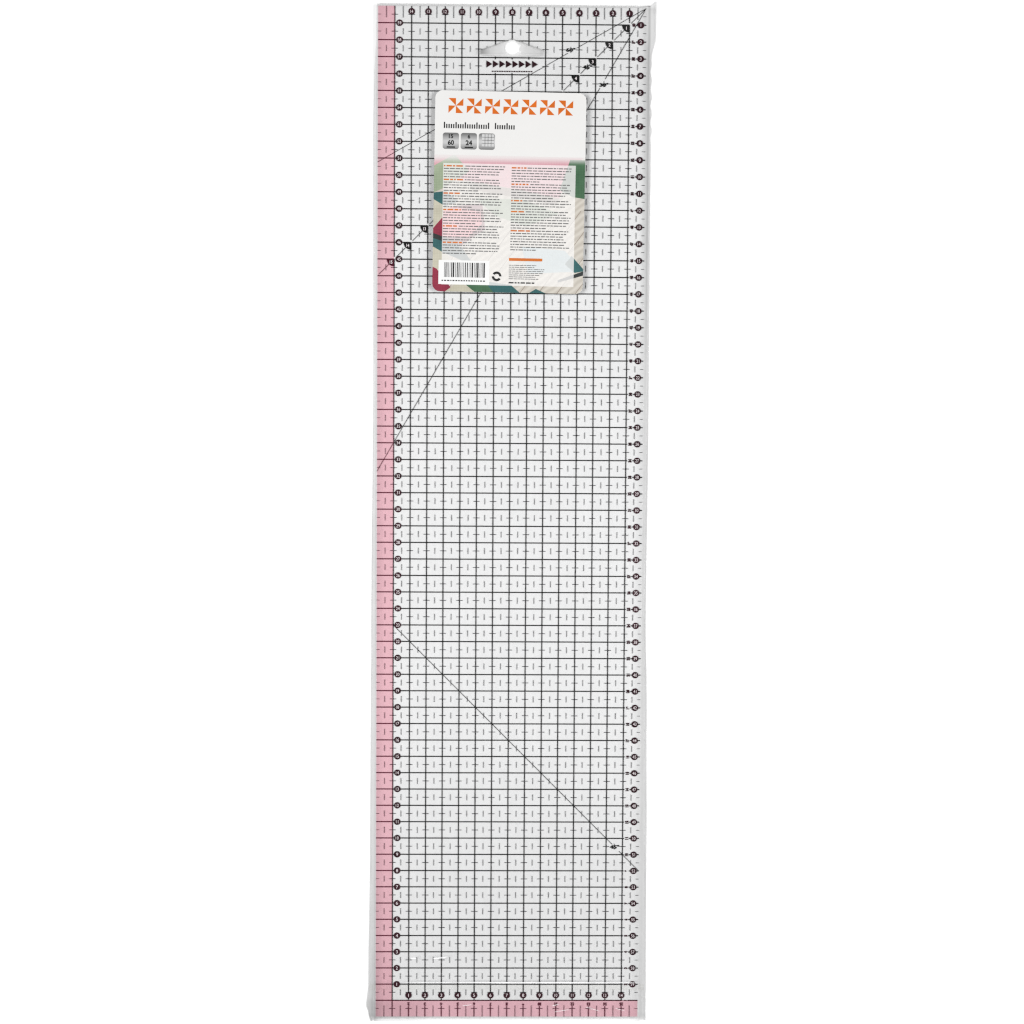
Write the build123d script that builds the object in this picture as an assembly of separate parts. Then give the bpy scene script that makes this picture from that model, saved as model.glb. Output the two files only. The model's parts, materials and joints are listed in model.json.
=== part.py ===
from build123d import *

import os
from math import cos, hypot, radians, sin

# Clear acrylic patchwork ruler: 15 x 60 cm of scale, and a 1 cm seam-allowance strip along its
# left side and its bottom end. It is packed in a clear film sleeve with a paper label.
# Millimetres. +X is the ruler's width (seam strip at -X), +Y its length (hang slot at +Y) and
# +Z goes up through its thickness. The origin is the centre of the pack's underside.

# ---- driving dimensions -------------------------------------------------------------------

CM = 10.0                          # one step of the printed scale
COLUMNS = 15                       # squares across the scale
ROWS = 60                          # squares along the scale
SEAM_STRIP = 1 * CM                # width of the tinted seam-allowance strip

SHEET_THICKNESS = 3.0              # acrylic
SHEET_CORNER_RADIUS = 0.8
FILM = 0.06                        # one ply of the sleeve film
INK = 0.03                         # one printed layer
AIR = 0.04                         # running gap between the sleeve and what lies in it
LABEL_PAPER = 0.12
GLUE = 0.02

BOLD_LINE = 0.52                   # whole-centimetre lines
FINE_LINE = 0.28                   # half-centimetre ticks and angle lines
LINE_OVERSHOOT = 0.8               # crosswise lines run past the last lengthwise line by this
MARGIN_DASH = 6.0                  # length of the crosswise dash at the right edge
SIDE_TICK = 1.8                    # half-centimetre ticks at the long edges
END_TICK = 6.9                     # half-centimetre ticks at the ends
DISC_RADIUS = 1.95                 # round number markers
DISC_TO_EDGE = 3.2                 # marker centre to the line or edge that it counts from
DISC_TO_STRIP = 2.8                # left-hand marker centre to the seam strip
FLAG_RADIUS = 4.4                  # quarter-round markers down the diagonal
FLAG_CLIP = 1.0                    # corner that is cut off each of them
CORNER_WEDGE = 2.2                 # solid wedge where the angle lines start
CROSSING_GAP = 1.3                 # bare stretch of line beside a clipped corner

HOLE_RADIUS = 4.2                  # punched through the film for a display hook
HOLE_TO_TOP = 24.7                 # hole centre to the ruler's top edge
SLOT_ARCH_RADIUS = 5.2             # crown of the hang slot, concentric with the hole
SLOT_HALF_WIDTH = 19.2
SLOT_BASE_TO_TOP = 29.0            # slot's straight edge to the ruler's top edge
SLOT_END_RADIUS = 1.6
SLOT_ROW = 2                       # crosswise line that the slot cuts
MARK_ROWS = (3, 4)                 # bare patch for a printed mark, between these lines
MARK_HALF_WIDTH = 18.0
LINE_NUB = 1.0                     # lengthwise lines stand this far into the bare patch
FIGURE_RISE = (0.3, 3.5)           # bare stretch of the lengthwise lines, for figures in the strip

SIDE_MARGIN = 5.0                  # sleeve beyond the ruler at each long side
SIDE_WELD = 1.2                    # width of the welded edge there
SIDE_SHOULDER = 0.4                # flat of the front ply beyond the ruler there
END_MARGIN = 1.8                   # the same three at the closed end
END_WELD = 0.8
END_SHOULDER = 0.2
FLAP_LENGTH = 24.0
GLUE_STRIP_WIDTH = 4.0
GLUE_STRIP_INSET = 2.0             # glue strip to the flap's free edge

LABEL_WIDTH = 90.0
LABEL_LENGTH = 119.0
LABEL_CORNER_RADIUS = 4.5
LABEL_SHIFT = -1.3                 # label centre to the ruler's centre line
LABEL_CENTRE_TO_TOP = 110.4        # label centre to the ruler's top edge
LABEL_TURN = -0.75                 # degrees, as it was stuck on

# (angle from the crosswise lines, distance from the top right corner to its printed figure)
CORNER_LINES = ((30.0, 51.0), (60.0, 51.7))
FIGURE_WIDTH = 6.0                 # bare stretch of an angle line, for its figure
LOW_DIAGONAL_ROW = 37              # the lower 45 degree line starts here on the seam strip
LOW_FIGURE_TO_EDGE = 14.2          # its figure to the right edge, measured across

# ---- derived sizes ------------------------------------------------------------------------

RIGHT = (COLUMNS * CM + SEAM_STRIP) / 2
LEFT = -RIGHT
TOP = (ROWS * CM + SEAM_STRIP) / 2
BOTTOM = -TOP
STRIP_X = LEFT + SEAM_STRIP        # inner edge of the strip, and the last lengthwise line
STRIP_Y = BOTTOM + SEAM_STRIP      # inner edge of the strip, and the last crosswise line
HOLE_Y = TOP - HOLE_TO_TOP
SLOT_BASE_Y = TOP - SLOT_BASE_TO_TOP

# heights, from the table up
FLAP_Z = 0.0
BACK_Z = FLAP_Z + FILM + AIR
TINT_Z = BACK_Z + FILM + AIR
CROSSWISE_Z = TINT_Z + INK
LENGTHWISE_Z = CROSSWISE_Z + INK
ANGLE_Z = LENGTHWISE_Z + INK
MARKER_Z = ANGLE_Z + INK
SHEET_Z = MARKER_Z + INK
FRONT_Z = SHEET_Z + SHEET_THICKNESS + AIR
LABEL_GLUE_Z = FRONT_Z + FILM
LABEL_Z = LABEL_GLUE_Z + GLUE

SLEEVE_X = RIGHT + SIDE_MARGIN
SLEEVE_Y = TOP + END_MARGIN
FOOT_X = SLEEVE_X - SIDE_WELD      # where the side film comes down on the back ply
FOOT_Y = SLEEVE_Y - END_WELD
CROWN_X = RIGHT + SIDE_SHOULDER    # where the front ply turns down
CROWN_Y = TOP + END_SHOULDER


# ---- helpers ------------------------------------------------------------------------------

def column_x(centimetres):
    """X of a lengthwise position, counted from the right edge."""
    return RIGHT - centimetres * CM


def row_y(centimetres):
    """Y of a crosswise position, counted from the top edge."""
    return TOP - centimetres * CM


def bar(x_from, x_to, y_from, y_to, z, height):
    """A flat bar between two X values and two Y values."""
    box = Box(x_to - x_from, y_to - y_from, height, align=(Align.MIN, Align.MIN, Align.MIN))
    return Pos(x_from, y_from, z) * box


def slab(sketch, z, height):
    """A flat sheet with the outline of a sketch."""
    return extrude(Plane.XY.offset(z) * sketch, height)


def outline(*points):
    """A filled polygon through the points."""
    return make_face(Polyline(*points, close=True))


def stretches(start, stop, gaps):
    """What is left from start to stop when the gaps, in order, are taken out."""
    left = []
    for low, high in gaps:
        left.append((start, low))
        start = high
    left.append((start, stop))
    return left


def save(name, *pieces):
    """Write one sub-part, made of one or more separate solids."""
    solids = [solid for piece in pieces for solid in piece.solids()]
    shape = solids[0] if len(solids) == 1 else Compound(solids)
    export_step(shape, os.path.join("parts", name + ".step"))


# ---- acrylic sheet ------------------------------------------------------------------------

def slot_outline():
    """The hang slot: an arch over the hook, sloping shoulders and a straight base."""
    end_x = SLOT_HALF_WIDTH - SLOT_END_RADIUS
    end_y = SLOT_BASE_Y + SLOT_END_RADIUS
    rounds = [Pos(0, HOLE_Y) * Circle(SLOT_ARCH_RADIUS)]
    rounds += [Pos(side * end_x, end_y) * Circle(SLOT_END_RADIUS) for side in (-1, 1)]
    return make_hull([edge for circle in rounds for edge in circle.edges()])


def acrylic_blank():
    """The clear sheet, with its hang slot cut through."""
    sheet = RectangleRounded(RIGHT - LEFT, TOP - BOTTOM, SHEET_CORNER_RADIUS)
    return slab(sheet - slot_outline(), SHEET_Z, SHEET_THICKNESS)


# ---- print on the underside of the sheet --------------------------------------------------

def seam_allowance_tint():
    """The L-shaped tint along the left side and the bottom end."""
    shape = outline((LEFT, BOTTOM), (RIGHT, BOTTOM), (RIGHT, STRIP_Y),
                    (STRIP_X, STRIP_Y), (STRIP_X, TOP), (LEFT, TOP))
    return slab(shape, TINT_Z, INK)


def without_slot(piece):
    """Take the hang slot out of a printed piece."""
    return piece - slab(slot_outline(), TINT_Z, SHEET_Z - TINT_Z)


def lengthwise_grid_lines():
    """One bold line for each centimetre of width, running from end to end."""
    bars = []
    for column in range(1, COLUMNS + 1):
        x = column_x(column)
        gaps = [(row_y(column), row_y(column) + CROSSING_GAP)]
        if column < COLUMNS:
            gaps.insert(0, (STRIP_Y - FIGURE_RISE[1], STRIP_Y - FIGURE_RISE[0]))
        if abs(x) < MARK_HALF_WIDTH:
            gaps.append((row_y(MARK_ROWS[1]) + LINE_NUB, row_y(MARK_ROWS[0]) - LINE_NUB))
        for low, high in stretches(BOTTOM, TOP, gaps):
            line = bar(x - BOLD_LINE / 2, x + BOLD_LINE / 2, low, high, LENGTHWISE_Z, INK)
            bars.append(without_slot(line) if abs(x) < SLOT_HALF_WIDTH else line)
    return bars


def crosswise_grid_lines():
    """One bold line for each centimetre of length, with a dash at the right-hand edge."""
    bars = []
    for row in range(1, ROWS + 1):
        y_from, y_to = row_y(row) - BOLD_LINE / 2, row_y(row) + BOLD_LINE / 2
        stop = column_x(1) + (LINE_OVERSHOOT if row > 1 else 0)
        gaps = [(column_x(row), column_x(row) + CROSSING_GAP / 2)] if 1 < row <= COLUMNS else []
        for start, end in stretches(LEFT, stop, gaps):
            line = bar(start, end, y_from, y_to, CROSSWISE_Z, INK)
            bars.append(without_slot(line) if row == SLOT_ROW else line)
        bars.append(bar(RIGHT - MARGIN_DASH, RIGHT, y_from, y_to, CROSSWISE_Z, INK))
    return bars


def edge_half_centimetre_ticks():
    """Fine ticks halfway between the bold lines, at all four edges."""
    half = FINE_LINE / 2
    ticks = []
    for row in range(ROWS + 1):
        y = row_y(row + 0.5)
        ticks.append(bar(LEFT, LEFT + SIDE_TICK, y - half, y + half, MARKER_Z, INK))
        ticks.append(bar(RIGHT - SIDE_TICK, RIGHT, y - half, y + half, MARKER_Z, INK))
    for column in range(COLUMNS + 1):
        x = column_x(column + 0.5)
        ticks.append(bar(x - half, x + half, BOTTOM, BOTTOM + END_TICK, MARKER_Z, INK))
        ticks.append(bar(x - half, x + half, TOP - END_TICK, TOP, MARKER_Z, INK))
    return ticks


def angle_stretch(corner_x, corner_y, angle, start, end):
    """A fine line down and to the left from a corner, between two distances from it."""
    middle = (start + end) / 2
    x = corner_x - middle * cos(radians(angle))
    y = corner_y - middle * sin(radians(angle))
    return Pos(x, y) * Rot(Z=angle) * Rectangle(end - start, FINE_LINE)


def figure_gap(distance):
    """The bare stretch of an angle line round its printed figure."""
    return distance - FIGURE_WIDTH / 2, distance + FIGURE_WIDTH / 2


def corner_wedge():
    """The solid wedge where the three angle lines leave the top right corner."""
    tips = [(RIGHT - CORNER_WEDGE * cos(radians(angle)), TOP - CORNER_WEDGE * sin(radians(angle)))
            for angle, _ in CORNER_LINES]
    return outline((RIGHT, TOP), *tips)


def angle_guide_lines():
    """The lines from the top right corner, the diagonal's stretches and the lower diagonal."""
    pieces = [corner_wedge()]
    for angle, figure in CORNER_LINES:
        length = (RIGHT - LEFT) / cos(radians(angle)) + CM
        for start, end in stretches(CORNER_WEDGE, length, [figure_gap(figure)]):
            pieces.append(angle_stretch(RIGHT, TOP, angle, start, end))
    step = CM * hypot(1, 1)
    for column in range(COLUMNS + 1):
        start = column * step + FLAG_RADIUS if column else CORNER_WEDGE
        end = (column + 1) * step - CROSSING_GAP
        pieces.append(angle_stretch(RIGHT, TOP, 45, start, end))
    low_end = row_y(LOW_DIAGONAL_ROW + COLUMNS)
    gap = figure_gap(LOW_FIGURE_TO_EDGE * hypot(1, 1))
    for start, end in stretches(-CM, COLUMNS * step, [gap]):
        pieces.append(angle_stretch(RIGHT, low_end, -45, start, end))
    sheet = Rectangle(RIGHT - LEFT, TOP - BOTTOM)
    return [slab(piece & sheet, ANGLE_Z, INK) for piece in pieces]


def discs(places):
    """Round number markers, one at each place."""
    return [slab(Pos(x, y) * Circle(DISC_RADIUS), MARKER_Z, INK) for x, y in places]


def diagonal_number_flags():
    """Quarter-round markers below and left of each square's corner on the diagonal."""
    flags = []
    for column in range(1, COLUMNS + 1):
        x, y = column_x(column), row_y(column)
        quarter = outline((x, y), (x - FLAG_RADIUS, y), (x - FLAG_RADIUS, y - FLAG_RADIUS),
                          (x, y - FLAG_RADIUS))
        clip = outline((x, y), (x - FLAG_CLIP, y), (x, y - FLAG_CLIP))
        flag = (Pos(x, y) * Circle(FLAG_RADIUS) & quarter) - clip
        flags.append(slab(flag, MARKER_Z, INK))
    return flags


# ---- film sleeve --------------------------------------------------------------------------

def ply(x_half, y_from, y_to, z):
    """A flat ply of the sleeve, with the punched hook hole."""
    return bar(-x_half, x_half, y_from, y_to, z, FILM) - Pos(0, HOLE_Y, z) * Cylinder(
        HOLE_RADIUS, FILM, align=(Align.CENTER, Align.CENTER, Align.MIN))


def slope_section(crown, foot):
    """Section of the film that comes down from the front ply to the back ply, as (run, z)."""
    top, base = FRONT_Z + FILM, BACK_Z + FILM
    run, drop = foot - crown, top - base
    shift = FILM * hypot(run, drop) / drop
    return (crown, top), (foot, base), (foot - shift, base), (crown, top - shift * drop / run)


def side_slope(side):
    """Film down one long side, mitred where it meets the closed end."""
    section = outline(*[(side * run, z) for run, z in slope_section(CROWN_X, FOOT_X)])
    slope = extrude(Plane.XZ.offset(SLEEVE_Y) * section, -SLEEVE_Y - FOOT_Y)
    mitre = outline((side * CROWN_X, -SLEEVE_Y), (side * FOOT_X, -SLEEVE_Y),
                    (side * FOOT_X, FOOT_Y), (side * CROWN_X, CROWN_Y))
    return slope & slab(mitre, 0, LABEL_Z)


def end_slope():
    """Film down the closed end, between the two mitres."""
    section = outline(*slope_section(CROWN_Y, FOOT_Y))
    slope = extrude(Plane.YZ.offset(-FOOT_X) * section, 2 * FOOT_X)
    mitre = outline((-CROWN_X, CROWN_Y), (CROWN_X, CROWN_Y), (FOOT_X, FOOT_Y), (-FOOT_X, FOOT_Y))
    return slope & slab(mitre, 0, LABEL_Z)


def side_weld(side):
    """The two plies welded together along one long side."""
    low, high = sorted((side * FOOT_X, side * SLEEVE_X))
    return bar(low, high, -SLEEVE_Y, FOOT_Y, BACK_Z, 2 * FILM)


def end_weld():
    """The two plies welded together across the closed end."""
    return bar(-SLEEVE_X, SLEEVE_X, FOOT_Y, SLEEVE_Y, BACK_Z, 2 * FILM)


def closing_flap():
    """The mouth's flap, folded back flat under the back ply."""
    return bar(-FOOT_X, FOOT_X, -SLEEVE_Y, FLAP_LENGTH - SLEEVE_Y, FLAP_Z, FILM)


def flap_glue_strip():
    """The strip of glue along the flap's free edge."""
    free_edge = FLAP_LENGTH - SLEEVE_Y - GLUE_STRIP_INSET
    return bar(-FOOT_X, FOOT_X, free_edge - GLUE_STRIP_WIDTH, free_edge, FLAP_Z + FILM, GLUE)


# ---- label --------------------------------------------------------------------------------

def label_sheet(z, thickness):
    """One layer of the label, stuck on the front ply a little askew."""
    shape = RectangleRounded(LABEL_WIDTH, LABEL_LENGTH, LABEL_CORNER_RADIUS)
    place = Pos(LABEL_SHIFT, TOP - LABEL_CENTRE_TO_TOP) * Rot(Z=LABEL_TURN)
    return slab(place * shape, z, thickness)


# ---- assembly -----------------------------------------------------------------------------

os.makedirs("parts", exist_ok=True)

save("acrylic_blank", acrylic_blank())
save("seam_allowance_tint", seam_allowance_tint())
save("lengthwise_grid_lines", *lengthwise_grid_lines())
save("crosswise_grid_lines", *crosswise_grid_lines())
save("edge_half_centimetre_ticks", *edge_half_centimetre_ticks())
save("angle_guide_lines", *angle_guide_lines())
save("top_number_discs", *discs([(column_x(n), TOP - DISC_TO_EDGE) for n in range(1, COLUMNS)]))
save("bottom_number_discs",
     *discs([(column_x(n), STRIP_Y + DISC_TO_EDGE) for n in range(1, COLUMNS)]))
save("left_number_discs", *discs([(STRIP_X + DISC_TO_STRIP, row_y(n)) for n in range(1, ROWS)]))
save("right_number_discs", *discs([(RIGHT - DISC_TO_EDGE, row_y(n)) for n in range(1, ROWS)]))
save("diagonal_number_flags", *diagonal_number_flags())

save("sleeve_front_ply", ply(CROWN_X, -SLEEVE_Y, CROWN_Y, FRONT_Z))
save("sleeve_back_ply", ply(FOOT_X, -SLEEVE_Y, FOOT_Y, BACK_Z))
save("sleeve_left_side", side_slope(-1))
save("sleeve_right_side", side_slope(1))
save("sleeve_closed_end", end_slope())
save("left_side_weld", side_weld(-1))
save("right_side_weld", side_weld(1))
save("closed_end_weld", end_weld())
save("closing_flap", closing_flap())
save("flap_glue_strip", flap_glue_strip())

save("label_glue", label_sheet(LABEL_GLUE_Z, GLUE))
save("label_paper", label_sheet(LABEL_Z, LABEL_PAPER))
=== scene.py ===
"""Looks of a clear patchwork ruler in its film sleeve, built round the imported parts."""
import functools
import json
import math
import random

import bmesh
import bpy
from mathutils import Matrix, Vector, noise


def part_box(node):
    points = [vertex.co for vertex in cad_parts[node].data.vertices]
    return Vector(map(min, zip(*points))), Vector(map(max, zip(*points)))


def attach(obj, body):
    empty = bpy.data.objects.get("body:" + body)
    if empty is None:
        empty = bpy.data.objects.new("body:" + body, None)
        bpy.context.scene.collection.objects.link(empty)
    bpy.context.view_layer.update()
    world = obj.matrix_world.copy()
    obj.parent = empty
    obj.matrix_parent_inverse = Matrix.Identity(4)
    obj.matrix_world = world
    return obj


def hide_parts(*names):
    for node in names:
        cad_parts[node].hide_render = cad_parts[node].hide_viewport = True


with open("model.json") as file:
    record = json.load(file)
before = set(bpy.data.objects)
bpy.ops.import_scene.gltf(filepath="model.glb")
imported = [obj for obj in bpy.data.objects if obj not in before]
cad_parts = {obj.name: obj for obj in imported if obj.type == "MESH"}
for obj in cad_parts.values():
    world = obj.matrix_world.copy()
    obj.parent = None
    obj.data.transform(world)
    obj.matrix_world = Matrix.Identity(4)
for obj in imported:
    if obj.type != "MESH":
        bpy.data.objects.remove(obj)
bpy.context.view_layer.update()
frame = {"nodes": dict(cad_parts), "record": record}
random.seed(15)

MM = 0.001
CM = 10.0  # one step of the printed scale; the places below are in millimetres

# ---- places read from the frame ----


def box_mm(node):
    """Lowest and highest corner of a CAD node, in millimetres."""
    low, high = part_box(node)
    return low / MM, high / MM


sheet_low, sheet_high = box_mm("acrylic_blank")
LEFT, BOTTOM = sheet_low.xy
RIGHT, TOP = sheet_high.xy
STRIP_X = LEFT + CM
STRIP_Y = BOTTOM + CM
COLUMNS = round((RIGHT - STRIP_X) / CM)
ROWS = round((TOP - STRIP_Y) / CM)

MARKER_Z, MARKER_TOP = (corner.z for corner in box_mm("top_number_discs"))
front_low, front_high = box_mm("sleeve_front_ply")
back_high = box_mm("sleeve_back_ply")[1]
weld_low, weld_high = box_mm("closed_end_weld")
flap_low, flap_high = box_mm("closing_flap")
label_low, label_high = box_mm("label_paper")
MOUTH_Y = front_low.y
CROWN_X, CROWN_Y, FRONT_TOP = front_high
FILM = FRONT_TOP - front_low.z
BACK_TOP = back_high.z
END_FOOT_Y, SLEEVE_TOP = weld_low.y, weld_high.y
LABEL_TOP = label_high.z
LABEL_CENTRE = (label_low + label_high) / 2

hook = [mount for mount in frame["record"]["mounts"] if mount["name"] == "hook_hole"][0]
HOLE_Y = hook["pos_m"][1] / MM
HOLE_RADIUS = hook["dims"]["r_mm"]

# the hang slot: an arch round the hook and a small round at each end of a straight base
SLOT_ARCH_RADIUS = 5.2
SLOT_HALF_WIDTH = 19.2
SLOT_END_RADIUS = 1.6
SLOT_BASE_Y = TOP - 29.0

DISC_RADIUS = 1.95
DISC_TO_EDGE = 3.2
DISC_TO_STRIP = 2.8
FLAG_RADIUS = 4.4
FLAG_CLIP = 1.0
LABEL_WIDTH = 90.0
LABEL_LENGTH = 119.0
LABEL_CORNER = 4.5
LABEL_TURN = math.radians(-0.75)


def column_x(count):
    """X of a lengthwise line, counted in centimetres from the right edge."""
    return RIGHT - count * CM


def row_y(count):
    """Y of a crosswise line, counted in centimetres from the top edge."""
    return TOP - count * CM


# ---- small maths ----


def clamp(value, low=0.0, high=1.0):
    return max(low, min(high, value))


def ease(value):
    """0 to 1, slow at both ends."""
    t = clamp(value)
    return t * t * (3 - 2 * t)


def bump(offset, width):
    """1 at no offset, easing to 0 at the width."""
    return ease(1 - abs(offset) / width)


def along(points, at):
    """An outline's value at a place, eased between its few points, listed from high to low."""
    if at >= points[0][0]:
        return points[0][1]
    for (high, first), (low, second) in zip(points, points[1:]):
        if at >= low:
            return first + (second - first) * ease((high - at) / (high - low))
    return points[-1][1]


def wave(x, y, size, seed=0.0):
    """Smooth noise from -1 to 1 with features of about that size."""
    return noise.noise(Vector((x / size, y / size, seed)))


# ---- meshes ----


class Shape:
    """Points and faces of one piece, gathered in millimetres."""

    def __init__(self):
        self.points = []
        self.faces = []

    def add(self, points, faces):
        first = len(self.points)
        self.points += [tuple(point) for point in points]
        self.faces += [[first + index for index in face] for face in faces]

    def prism(self, outline, z_from, z_to):
        """A flat plate with that outline, given anticlockwise."""
        count = len(outline)
        points = [(x, y, z_from) for x, y in outline] + [(x, y, z_to) for x, y in outline]
        faces = [list(range(count))[::-1], list(range(count, 2 * count))]
        for index in range(count):
            after = (index + 1) % count
            faces.append([index, after, count + after, count + index])
        self.add(points, faces)

    def bar(self, x_from, x_to, y_from, y_to, z_from, z_to):
        corners = [(x_from, y_from), (x_to, y_from), (x_to, y_to), (x_from, y_to)]
        self.prism(corners, z_from, z_to)

    def disc(self, x, y, radius, z_from, z_to, sides=40):
        turn = 2 * math.pi / sides
        rim = [(x + radius * math.cos(turn * i), y + radius * math.sin(turn * i)) for i in range(sides)]
        self.prism(rim, z_from, z_to)


def place_object(name, data):
    """A new object in the scene."""
    made = bpy.data.objects.new(name, data)
    bpy.context.scene.collection.objects.link(made)
    return made


def piece(name, shape, material, body, replaces=(), smooth=False, light=None):
    """Make the mesh, give it its material and hang it on its CAD body."""
    mesh = bpy.data.meshes.new(name)
    mesh.from_pydata([Vector(point) * MM for point in shape.points], [], shape.faces)
    mesh.validate()
    if light is not None:
        attribute = mesh.attributes.new("film_light", "FLOAT", "POINT")
        attribute.data.foreach_set("value", light)
    if smooth:
        mesh.polygons.foreach_set("use_smooth", [True] * len(mesh.polygons))
    mesh.materials.append(material)
    mesh.update()
    made = place_object(name, mesh)
    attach(made, body)
    if replaces:
        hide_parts(*replaces)


# ---- figures ----


@functools.cache
def figure_outline(text, bolder):
    """A line of figures as a closed mesh, centred, one unit high and one unit thick."""
    curve = bpy.data.curves.new("figure", "FONT")
    curve.body = text
    curve.extrude = 0.5
    curve.offset = bolder
    curve.resolution_u = 3
    writer = bpy.data.objects.new("figure", curve)
    mesh = bpy.data.meshes.new_from_object(writer)
    solid = bmesh.new()
    solid.from_mesh(mesh)
    bmesh.ops.remove_doubles(solid, verts=solid.verts, dist=1e-5)
    points = [vertex.co.copy() for vertex in solid.verts]
    faces = [[vertex.index for vertex in face.verts] for face in solid.faces]
    solid.free()
    bpy.data.objects.remove(writer)
    bpy.data.meshes.remove(mesh)
    bpy.data.curves.remove(curve)
    low = Vector([min(point[axis] for point in points) for axis in range(3)])
    high = Vector([max(point[axis] for point in points) for axis in range(3)])
    middle = (low + high) / 2
    tall = high.y - low.y
    points = [((p.x - middle.x) / tall, (p.y - middle.y) / tall, p.z) for p in points]
    return points, faces


def write_figure(shape, text, x, y, height, z_from, z_to, turn=0.0, squeeze=1.0, bolder=0.012):
    """Put a line of figures on a shape, centred at x, y and turned anticlockwise by turn."""
    points, faces = figure_outline(text, bolder)
    cos, sin = math.cos(turn), math.sin(turn)
    placed = []
    for px, py, pz in points:
        along_x, along_y = px * height * squeeze, py * height
        z = z_from + (pz + 0.5) * (z_to - z_from)
        placed.append((x + along_x * cos - along_y * sin, y + along_x * sin + along_y * cos, z))
    shape.add(placed, faces)


# ---- materials ----


class Paint:
    """A node material, built a node at a time."""

    def __init__(self, name):
        self.material = bpy.data.materials.new(name)
        self.material.use_nodes = True
        self.tree = self.material.node_tree
        self.tree.nodes.clear()
        self.output = self.tree.nodes.new("ShaderNodeOutputMaterial")
        self.place = self.node("TexCoord").outputs["Object"]

    def node(self, kind, inputs=None, **settings):
        made = self.tree.nodes.new("ShaderNode" + kind)
        for name, value in settings.items():
            setattr(made, name, value)
        for name, value in (inputs or {}).items():
            self.feed(made.inputs[name], value)
        return made

    def feed(self, socket, value):
        if isinstance(value, bpy.types.NodeSocket):
            self.tree.links.new(value, socket)
        else:
            socket.default_value = value

    def maths(self, operation, first, second=0.0):
        return self.node("Math", {0: first, 1: second}, operation=operation).outputs[0]

    def times(self, first, second):
        return self.maths("MULTIPLY", first, second)

    def part(self, vector, axis):
        """One part of a vector."""
        return self.node("SeparateXYZ", {0: vector}).outputs[axis]

    def surface(self, output):
        """What Blender says of the surface, such as its normal."""
        return self.node("NewGeometry").outputs[output]

    def level(self, value):
        """A grey from one value."""
        inputs = {"Red": value, "Green": value, "Blue": value}
        return self.node("CombineColor", inputs).outputs[0]

    def grain(self, size, detail=3.0, stretch=(1, 1, 1)):
        """Noise with features of that size in millimetres."""
        scaled = self.node("Mapping", {"Vector": self.place, "Scale": stretch})
        inputs = {"Vector": scaled.outputs[0], "Scale": 1 / (size * MM), "Detail": detail}
        return self.node("TexNoise", inputs).outputs[0]

    def spread(self, value, low, high, from_low=0.3, from_high=0.7):
        """Noise brought to a range of values."""
        inputs = {0: value, 1: from_low, 2: from_high, 3: low, 4: high}
        return self.node("MapRange", inputs).outputs[0]

    def clouds(self, size, detail=3.0):
        """Noise brought to 0 to 1."""
        return self.spread(self.grain(size, detail), 0.0, 1.0)

    def blend(self, factor, first, second):
        """A colour between two colours."""
        made = self.node("Mix", data_type="RGBA")
        self.feed(made.inputs[0], factor)
        self.feed(made.inputs[6], first)
        self.feed(made.inputs[7], second)
        return made.outputs[2]

    def relief(self, height, depth, strength=0.5):
        """A bump from a height, of that depth in millimetres."""
        inputs = {"Height": height, "Distance": depth * MM, "Strength": strength}
        return self.node("Bump", inputs).outputs[0]

    def mix(self, factor, first, second):
        """A shader between two shaders."""
        inputs = {0: factor, 1: first.outputs[0], 2: second.outputs[0]}
        return self.node("MixShader", inputs)

    def solid(self, **inputs):
        """A Principled shader; names take spaces for underscores."""
        return self.node("BsdfPrincipled", {n.replace("_", " "): v for n, v in inputs.items()})

    def done(self, shader):
        self.tree.links.new(shader.outputs[0], self.output.inputs["Surface"])
        return self.material

    def opaque(self, colour, roughness, height, depth, strength=0.5, **more):
        """Finish as an opaque coat with a slight relief."""
        normal = self.relief(height, depth, strength)
        return self.done(self.solid(Base_Color=colour, Roughness=roughness, Normal=normal, **more))


def grey(value):
    return (value, value, value, 1.0)


def rgb(red, green, blue):
    return (red, green, blue, 1.0)


def shaded(colour, times, plus=0.0):
    """A colour made lighter or darker."""
    return rgb(*[clamp(part * times + plus) for part in colour[:3]])


def entering(paint):
    """1 where light meets the outside of a clear piece, 0 where it leaves again."""
    return paint.maths("SUBTRACT", 1.0, paint.surface("Backfacing"))


def over_clear(paint, amount, ink, colour=None):
    """Ink that covers that share of a clear ground."""
    see = paint.node("BsdfTransparent", {"Color": colour} if colour is not None else None)
    return paint.mix(paint.times(entering(paint), amount), see, ink)


def clear_shader(paint, through, ior, roughness, haze, haze_colour, normal, glossy=1.0):
    """A clear piece: light goes through tinted once, with haze and gloss on its outside."""
    front = entering(paint)
    tint = paint.blend(front, grey(1.0), through)
    veil = paint.node("BsdfDiffuse", {"Color": haze_colour, "Normal": normal})
    hazed = over_clear(paint, haze, veil, tint)
    fresnel = paint.node("Fresnel", {"IOR": ior, "Normal": normal}).outputs[0]
    shine = paint.node("BsdfGlossy", {"Roughness": roughness, "Normal": normal})
    outside = paint.times(front, glossy)
    return paint.mix(paint.times(outside, fresnel), hazed, shine)


def facing_down(paint):
    """1 on faces that look down, 0 on the rest."""
    return paint.maths("LESS_THAN", paint.part(paint.surface("Normal"), "Z"), 0.0)


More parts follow.
